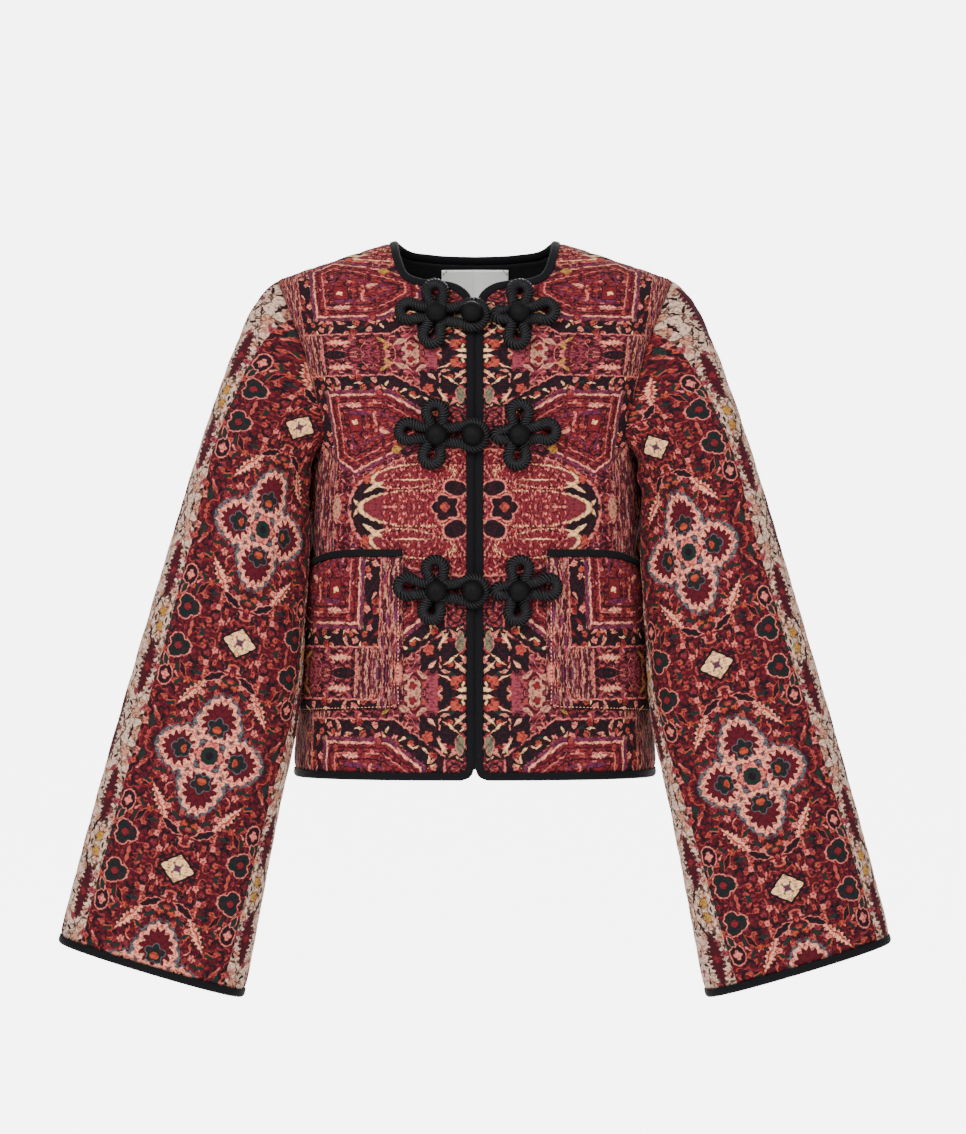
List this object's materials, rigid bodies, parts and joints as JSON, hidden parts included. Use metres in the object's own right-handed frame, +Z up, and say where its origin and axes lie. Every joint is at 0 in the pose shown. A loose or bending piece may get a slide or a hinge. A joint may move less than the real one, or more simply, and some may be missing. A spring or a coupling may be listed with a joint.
{
  "type": "frog-button jacket",
  "caption": "Short boxy quilted velvet jacket, hollow as if worn, with wide straight sleeves, patch pockets, black bound edges and black rope frog fastenings down the closed front.",
  "frame": {"origin": "midway between the two points where the shoulder seams meet the neckline, where the wearer's neck holds the jacket", "axes": "+Z up, +X to the wearer's left, -Y out of the front"},
  "size_m": [0.7546, 0.2617, 0.6889],
  "materials": {
    "printed_velvet": "printed cotton velvet, quilted in diamonds",
    "black_binding": "matt black bias tape",
    "black_rope": "twisted cord with a slight sheen",
    "black_knob_cloth": "cloth-covered ball",
    "black_facing": "plain black lining cloth",
    "white_label": "bare white woven tape"
  },
  "bodies": {
    "root": {"back": "printed_velvet", "front_left": "printed_velvet", "front_right": "printed_velvet", "sleeve_left": "printed_velvet", "sleeve_right": "printed_velvet", "pocket_left": "printed_velvet", "pocket_right": "printed_velvet", "binding_front_left": "black_binding", "binding_front_right": "black_binding", "binding_back_neck": "black_binding", "binding_back_hem": "black_binding", "binding_cuff_left": "black_binding", "binding_cuff_right": "black_binding", "binding_pocket_left": "black_binding", "binding_pocket_right": "black_binding", "neck_facing": "black_facing", "label": "white_label", "frog_top_loop_cord": "black_rope", "frog_top_knob_cord": "black_rope", "frog_middle_loop_cord": "black_rope", "frog_middle_knob_cord": "black_rope", "frog_bottom_loop_cord": "black_rope", "frog_bottom_knob_cord": "black_rope", "frog_top_knob_right": "black_knob_cloth", "frog_top_knob_centre": "black_knob_cloth", "frog_top_knob_left": "black_knob_cloth", "frog_middle_knob_right": "black_knob_cloth", "frog_middle_knob_centre": "black_knob_cloth", "frog_middle_knob_left": "black_knob_cloth", "frog_bottom_knob_right": "black_knob_cloth", "frog_bottom_knob_centre": "black_knob_cloth", "frog_bottom_knob_left": "black_knob_cloth"}
  },
  "joints": []
}
